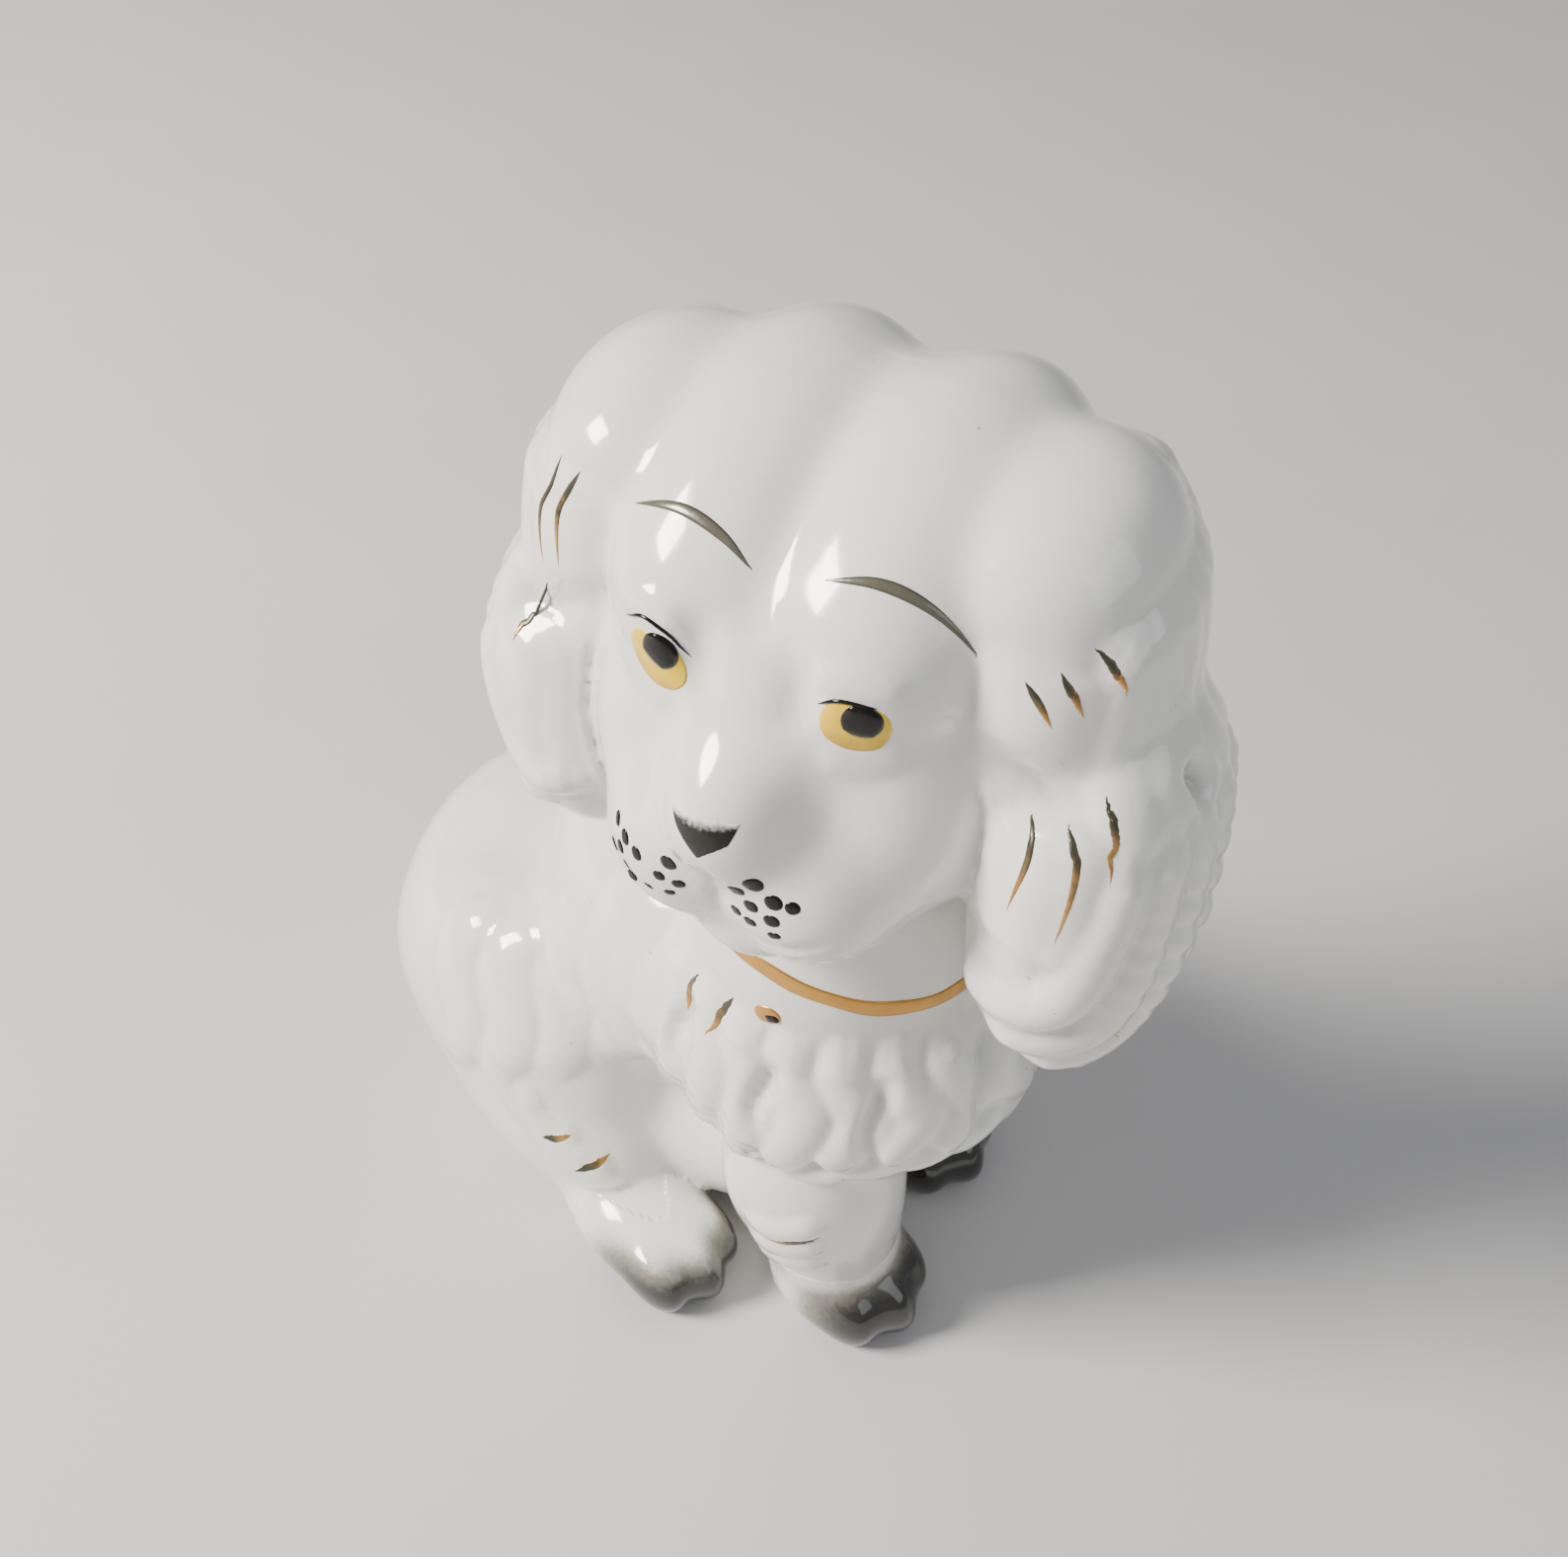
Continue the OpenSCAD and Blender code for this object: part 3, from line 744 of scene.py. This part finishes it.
def brushed(path, width, heel=0.5, count=36):
    """Targets for a brush stroke, widest at heel and drawn out to a point at both ends."""
    middle, out = on_skin(bend(path, count))
    along = np.gradient(middle, axis=0)
    across = np.cross(out, along)
    across /= np.linalg.norm(across, axis=1, keepdims=True) + 1e-9
    t = np.linspace(0, 1, count)
    swell = np.where(t < heel, t / heel, (1 - t) / (1 - heel))
    half = width / 2 * (0.06 + 0.94 * np.sin(np.pi / 2 * swell))
    rows = np.linspace(-1, 1, 5)
    return middle + across * (rows[:, None, None] * half[:, None])


def painted(node, grids, finish, thick=FILM, joined=False):
    """One painted piece of one or more films."""
    points, faces, u, v = [], [], [], []
    for grid in grids:
        p, f, fu, fv = film(grid, thick, joined)
        faces += [[i + len(points) for i in face] for face in f]
        points += list(p)
        u += list(fu)
        v += list(fv)
    mesh = piece(node, points, faces, finish.made)
    attribute(mesh, "along", u)
    attribute(mesh, "across", v)
    return mesh


def on_face(*points):
    return [head_at + head_turn @ np.array(p, float) for p in points]


# ---- Eyes ----
# A yellow iris is painted over the glaze on each side, with a thick black pupil
# raised on it, and one thin lid line is drawn along its top with a fine brush.
yellow = Finish("yellow_enamel")
rim = yellow.read("across") * -0.5 + 0.5
streak = yellow.mix(yellow.noise(0.8, 3.0), (0.84, 0.58, 0.002), (0.80, 0.50, 0.002))
yellow.set(
    Base_Color=yellow.mix(
        (rim + yellow.noise(1.5) * 0.3).ramp(0.75, 1.2), streak, (0.66, 0.36, 0.003)
    ),
    Roughness=0.2 + yellow.noise(0.7) * 0.12,
    Coat_Weight=0.1,
)
yellow.bump(yellow.noise(0.5, 3.0), 0.03)

black = Finish("black_enamel")
thin_black = black.mix(black.noise(0.9, 3.0), (0.002, 0.002, 0.002), (0.012, 0.011, 0.009))
black.set(
    Base_Color=black.mix(
        black.noise(0.35, 2.0).ramp(0.62, 0.8) * 0.25, thin_black, (0.10, 0.09, 0.07)
    ),
    Roughness=0.08 + black.noise(0.6) * 0.12,
    IOR=1.36,
)
black.bump(black.noise(0.45, 2.0), 0.02)

eyes = {
    "right": ((14.3, -6.8, 5.1), (14.4, -6.4, 6.1), 5.0, -12),
    "left": ((14.1, 7.8, 5.7), (14.0, 8.3, 6.3), 5.0, -4),
}
lids = {
    "right": ((13.3, -9.3, 7.4), (14.2, -7.6, 8.5), (14.5, -5.6, 7.8), (14.4, -4.1, 6.2)),
    "left": ((14.3, 5.2, 6.7), (14.3, 6.5, 7.6), (14.1, 7.8, 7.8), (13.8, 9.2, 7.6)),
}
for word, (iris_at, pupil_at, wide, roll) in eyes.items():
    iris_grid = daub(*on_face(iris_at), wide, 4.3, roll, 2.2, 25)
    painted(word + "_iris", [iris_grid], yellow, 0.1)
    pupil_grid = daub(*on_face(pupil_at), 2.9, 2.9, roll * 3, 2.0, 25)
    painted(word + "_pupil", [pupil_grid], black, 0.3)
    painted(word + "_lid_line", [brushed(on_face(*lids[word]), 0.32)], black, 0.16)

# ---- Brows ----
# One stroke each over the glaze, laid with a full brush of thin olive enamel, so it
# is darker where the colour gathers at its edges.
olive = Finish("olive_enamel")
edge = olive.read("across")
dark_edge = (edge * edge).ramp(0.2, 1.0)
wash = olive.mix(olive.noise(1.2, 3.0), (0.13, 0.125, 0.09), (0.085, 0.08, 0.055))
olive.set(
    Base_Color=olive.mix(dark_edge, wash, (0.035, 0.032, 0.022)),
    Roughness=0.18 + olive.noise(0.8) * 0.15,
    Coat_Weight=0.4,
    Metallic=0.15,
)
olive.bump(olive.noise(0.5), 0.02)
brows = {
    "right": ((9.0, -11.1, 12.8), (9.7, -7.1, 14.3), (10.2, -3.9, 13.8), (10.9, -1.3, 12.5)),
    "left": ((10.6, 3.7, 13.5), (10.0, 7.1, 14.1), (9.4, 10.2, 13.1), (8.2, 13.3, 9.8)),
}
for word, path in brows.items():
    painted(word + "_brow", [brushed(on_face(*path), 0.85, 0.45)], olive, 0.08)

# ---- Nose and whisker spots ----
# The nose is sprayed through a mask: crisp below, fading upwards. The whisker spots
# are touched on with the tip of a brush, and no two are the same size.
nose = Finish("nose_black")
fade = (nose.read("across") + (nose.noise(0.35, 3.0) - 0.5) * 0.8).ramp(-1.15, -0.35)
spray_tone = nose.mix(nose.noise(1.5, 3.0), (0.006, 0.005, 0.004), (0.030, 0.026, 0.021))
nose.set(Base_Color=nose.mix(fade, glaze_colour(nose), spray_tone))
glaze_gloss(nose)
nose.set(Roughness=0.25 + nose.noise(0.5) * 0.2, Coat_Weight=0.0, IOR=1.36)
rows = []
for v in np.linspace(0, 1, 25):
    rows.append(
        [
            on_face(
                (
                    nose_reach,
                    -0.1 + 3.0 * u * (1 - 0.35 * v) * (1 - 0.55 * v * (1 - abs(u))),
                    -0.9 - 3.6 * v * (1 - 0.45 * abs(u) ** 1.3) - 0.5 * (1 - u) * (1 - v),
                )
            )[0]
            for u in np.linspace(-1, 1, 31)
        ]
    )
painted("nose_enamel", [np.array(rows)], nose, 0.06)

spots = {
    "right": [
        ((17.6, -8.4, -8.2), 0.62, 1.25),
        ((18.4, -7.4, -8.8), 0.9, 1.3),
        ((18.2, -7.7, -10.0), 0.75, 1.2),
        ((17.7, -8.5, -10.6), 0.6, 1.3),
        ((18.9, -6.2, -9.3), 0.95, 1.2),
        ((19.4, -3.5, -8.5), 1.35, 1.3),
        ((18.4, -7.2, -11.3), 0.8, 1.0),
        ((19.3, -4.3, -10.2), 1.0, 0.95),
        ((18.2, -7.0, -12.6), 0.9, 1.05),
        ((19.0, -5.3, -12.0), 0.9, 0.75),
        ((19.3, -2.8, -10.4), 1.15, 0.85),
        ((19.2, -3.6, -11.7), 1.0, 0.6),
    ],
    "left": [
        ((19.6, 2.0, -8.2), 1.4, 1.15),
        ((19.6, 3.4, -6.8), 1.5, 1.55),
        ((19.0, 1.7, -11.0), 1.1, 0.95),
        ((19.5, 3.1, -9.3), 1.3, 1.1),
        ((19.2, 4.8, -8.1), 1.4, 1.3),
        ((18.8, 6.1, -8.2), 1.15, 1.05),
        ((19.3, 3.0, -11.1), 1.3, 0.85),
        ((19.4, 4.8, -9.8), 1.35, 1.1),
        ((19.3, 5.0, -11.2), 1.15, 0.7),
    ],
}
for word, dots in spots.items():
    grids = [daub(*on_face(at), w, h, 25, 2.1, 9) for at, w, h in dots]
    painted(word + "_whisker_spots", grids, black, 0.1)

# ---- Collar and locket ----
# Bright gold lustre laid on with a brush, so it is orange where thin, and slightly
# uneven along its edges. The locket has a dark dot in the middle.
gold = Finish("gilding")
thin = (gold.read("across") * gold.read("across") + gold.noise(1.2, 3.0) * 0.6).ramp(0.6, 1.5)
brush = gold.mix(gold.noise(2.0, 4.0), (0.72, 0.40, 0.10), (0.52, 0.24, 0.04))
gold.set(
    Base_Color=gold.mix(thin * 0.6, brush, (0.42, 0.17, 0.03)),
    Metallic=0.72,
    Roughness=0.26 + gold.noise(0.6, 3.0) * 0.2,
)
gold.bump(gold.noise(0.5, 3.0), 0.03)
neck_at = (shoulder_x, -3.0)
turns = np.linspace(0, 2 * math.pi, 241)
band = []
for v in np.linspace(-1, 1, 9):
    ring = []
    for a in turns:
        wobble = 0.08 * math.sin(5 * a + 1) + 0.05 * math.sin(13 * a)
        high = seam_z + 2.3 + 3.7 * math.cos(a + math.radians(120)) + wobble
        z = high + v * (0.85 + 0.06 * math.sin(9 * a))
        ring.append((neck_at[0] + 12 * math.cos(a), neck_at[1] + 12 * math.sin(a), z))
    band.append(ring)
painted("collar_gilding", [np.array(band)], gold, joined=True)
locket_at = (20.9, -14.3, 53.6)
painted("locket_gilding", [daub(locket_at, 2.6, 2.1, 20, 2.0, 13)], gold, 0.2)
locket_dot = daub(np.add(locket_at, (0.4, 0.2, -0.1)), 1.5, 1.2, 20, 2.0, 9)
painted("locket_enamel", [locket_dot], black, 0.28)

# ---- Gilt strokes ----
# Short strokes of lustre pick out the locks. They are painted nearly black at the start of
# a stroke and orange and gold towards its end, as painted reflection of dark and light.
lustre = Finish("lustre_strokes")
end = (lustre.read("along") + (lustre.noise(1.0, 3.0) - 0.5) * 1.2).ramp(-0.3, 1.0)
tone = lustre.mix(lustre.noise(0.7, 3.0), (0.55, 0.22, 0.05), (0.78, 0.46, 0.12))
lustre.set(
    Base_Color=lustre.mix(end, (0.055, 0.05, 0.03), tone),
    Metallic=0.35 + end * 0.4,
    Roughness=0.22 + lustre.noise(0.5) * 0.15,
)
lustre.bump(lustre.noise(0.5), 0.02)
ear_strokes = {
    "right_ear_gilding": [
        ((8.2, -16.2, 13.0), (8.8, -17.6, 10.0), (9.7, -17.5, 5.5)),
        ((7.4, -18.2, 13.2), (8.8, -19.8, 9.0), (10.2, -19.6, 5.0)),
        ((11.3, -20.3, 2.4), (11.6, -21.3, 0.6), (11.8, -21.5, -1.6)),
    ],
    "left_ear_gilding": [
        ((8.8, 16.8, 9.6), (9.2, 18.0, 8.4), (9.7, 19.2, 6.9)),
        ((8.3, 18.8, 10.6), (8.9, 20.2, 9.4), (9.3, 21.6, 7.8)),
        ((7.0, 20.5, 12.0), (7.3, 22.1, 10.8), (7.4, 23.7, 9.0)),
        ((11.0, 18.7, 0.6), (11.7, 19.7, -3.0), (11.7, 19.3, -7.8)),
        ((11.5, 21.4, 2.0), (11.7, 22.9, -2.0), (11.9, 22.6, -8.7)),
        ((10.6, 23.3, 3.6), (10.6, 24.7, 0.6), (10.7, 25.0, -3.2)),
        ((6.9, 27.5, -16.2), (7.2, 27.2, -19.2), (7.6, 26.6, -22.4)),
        ((8.4, 26.4, -17.0), (8.8, 26.0, -19.2), (9.2, 25.4, -21.4)),
    ],
}
for node, paths in ear_strokes.items():
    painted(node, [brushed(on_face(*p), 0.55, 0.4) for p in paths], lustre, 0.06)
chest_strokes = [
    ((17.6, -14.2, 53.0), (16.4, -14.9, 50.0), (15.2, -15.3, 46.5)),
    ((13.0, -14.0, 50.8), (12.2, -14.2, 48.6), (11.2, -14.6, 46.0)),
]
painted("chest_gilding", [brushed(p, 0.8) for p in chest_strokes], lustre, 0.06)
haunch_strokes = [
    ((-5.0, -21.6, 13.8), (-3.4, -21.8, 14.4), (-1.6, -21.4, 15.6)),
    ((-1.0, -21.2, 10.8), (0.6, -20.5, 12.0), (2.2, -19.4, 13.6)),
]
painted("haunch_gilding", [brushed(p, 1.0) for p in haunch_strokes], lustre, 0.06)
leg_stroke = ((25.0, -13.0, 22.6), (23.4, -13.4, 21.3), (22.0, -13.6, 20.0))
painted("foreleg_gilding", [brushed(leg_stroke, 0.8)], lustre, 0.06)

# ---- Paws ----
# The toes are sprayed with thin black enamel before the last firing. It turns olive
# grey as it fades towards the heel.
paw = Finish("paw_black")
mist = paw.read("spray") + (paw.noise(0.5, 3.0) - 0.5) * 0.16 * paw.read("spray").ramp(0.0, 0.3)
dusk = paw.mix(mist.ramp(0.02, 0.4), glaze_colour(paw), (0.22, 0.21, 0.17))
paw.set(Base_Color=paw.mix(mist.ramp(0.3, 0.75), dusk, (0.022, 0.021, 0.018)))
glaze_gloss(paw)


def smooth_step(x):
    x = np.clip(x, 0, 1)
    return x * x * (3 - 2 * x)


def sprayed(node, spray):
    """A film over the part of the skin that the spray reaches."""
    hit = quads[(spray[quads] > 0.002).any(1)]
    used, hit = np.unique(hit, return_inverse=True)
    hit = hit.reshape(-1, 4)
    points = np.concatenate([skin[used] + normals[used] * 0.04, skin[used] - normals[used] * 0.06])
    count = len(used)
    edges = set()
    for face in hit.tolist():
        edges.update(zip(face, face[1:] + face[:1]))
    faces = hit.tolist() + (hit[:, ::-1] + count).tolist()
    faces += [[j, i, i + count, j + count] for i, j in edges if (j, i) not in edges]
    mesh = piece(node, points, faces, paw.made)
    attribute(mesh, "spray", np.tile(spray[used], 2))
    attribute(mesh, "hollow", np.tile(hollow[used], 2))


for side, word in ((-1, "right"), (1, "left")):
    for kind, toe_x, reach_back in (
        ("fore", leg_x[side] + 11, 13),
        ("hind", hind_foot_x + 11.5, 17),
    ):
        cast_name = word + ("_foreleg" if kind == "fore" else "_hind_foot")
        mine = owner == names.index(cast_name)
        forward = smooth_step((skin[:, 0] - (toe_x - reach_back)) / (reach_back * 0.8))
        lower = smooth_step(((10.5 if kind == "fore" else 8.6) - skin[:, 2]) / 4)
        spray = np.where(mine, forward * lower, 0)
        # Painted shade: the spray is made denser in the hollows between the toes.
        spray = np.clip(spray * (0.75 + 0.8 * hollow), 0, 1)
        sprayed(f"{word}_{kind + 'paw' if kind == 'fore' else 'hind_paw'}_enamel", spray)

# ---- Table and light ----
# A plain pale table, one soft light at the viewer's left, a weaker one at the right
# and a pale room all round.
table = bpy.data.meshes.new("table_mesh")
reach = 1.5
table_corners = [(-reach, -reach, 0), (reach, -reach, 0), (reach, reach, 0), (-reach, reach, 0)]
table.from_pydata(table_corners, [], [(0, 1, 2, 3)])
floor = bpy.data.objects.new("floor", table)
bpy.context.scene.collection.objects.link(floor)
cloth = Finish("table")
pale = cloth.mix(cloth.noise(40), (0.62, 0.61, 0.60), (0.57, 0.56, 0.56))
cloth.set(Base_Color=pale, Roughness=0.8)
table.materials.append(cloth.made)

viewer_right = Vector((math.cos(math.radians(44)), math.sin(math.radians(44)), 0))
viewer_ahead = Vector((-viewer_right.y, viewer_right.x, 0))
figure_middle = Vector((0.012, -0.002, 0.055))


def lamp(name, away, size, power, colour):
    light = bpy.data.objects.new(name, bpy.data.lights.new(name, "AREA"))
    light.data.shape = "RECTANGLE"
    light.data.size, light.data.size_y = size
    light.data.energy = power
    light.data.color = colour
    light.location = figure_middle + away
    light.rotation_euler = (figure_middle - light.location).to_track_quat("-Z", "Y").to_euler()
    bpy.context.scene.collection.objects.link(light)


up = Vector((0, 0, 1))
key_away = -0.55 * viewer_right - 0.06 * viewer_ahead + 0.40 * up
fill_away = 0.5 * viewer_right - 0.3 * viewer_ahead + 0.35 * up
lamp("key", key_away, (0.22, 0.22), 11.5, (1.0, 0.96, 0.90))
lamp("fill", fill_away, (0.5, 0.4), 1.0, (0.92, 0.95, 1.0))
world = bpy.data.worlds.new("room")
bpy.context.scene.world = world
world.use_nodes = True
world.node_tree.nodes["Background"].inputs["Color"].default_value = (0.78, 0.80, 0.84, 1)
world.node_tree.nodes["Background"].inputs["Strength"].default_value = 0.42
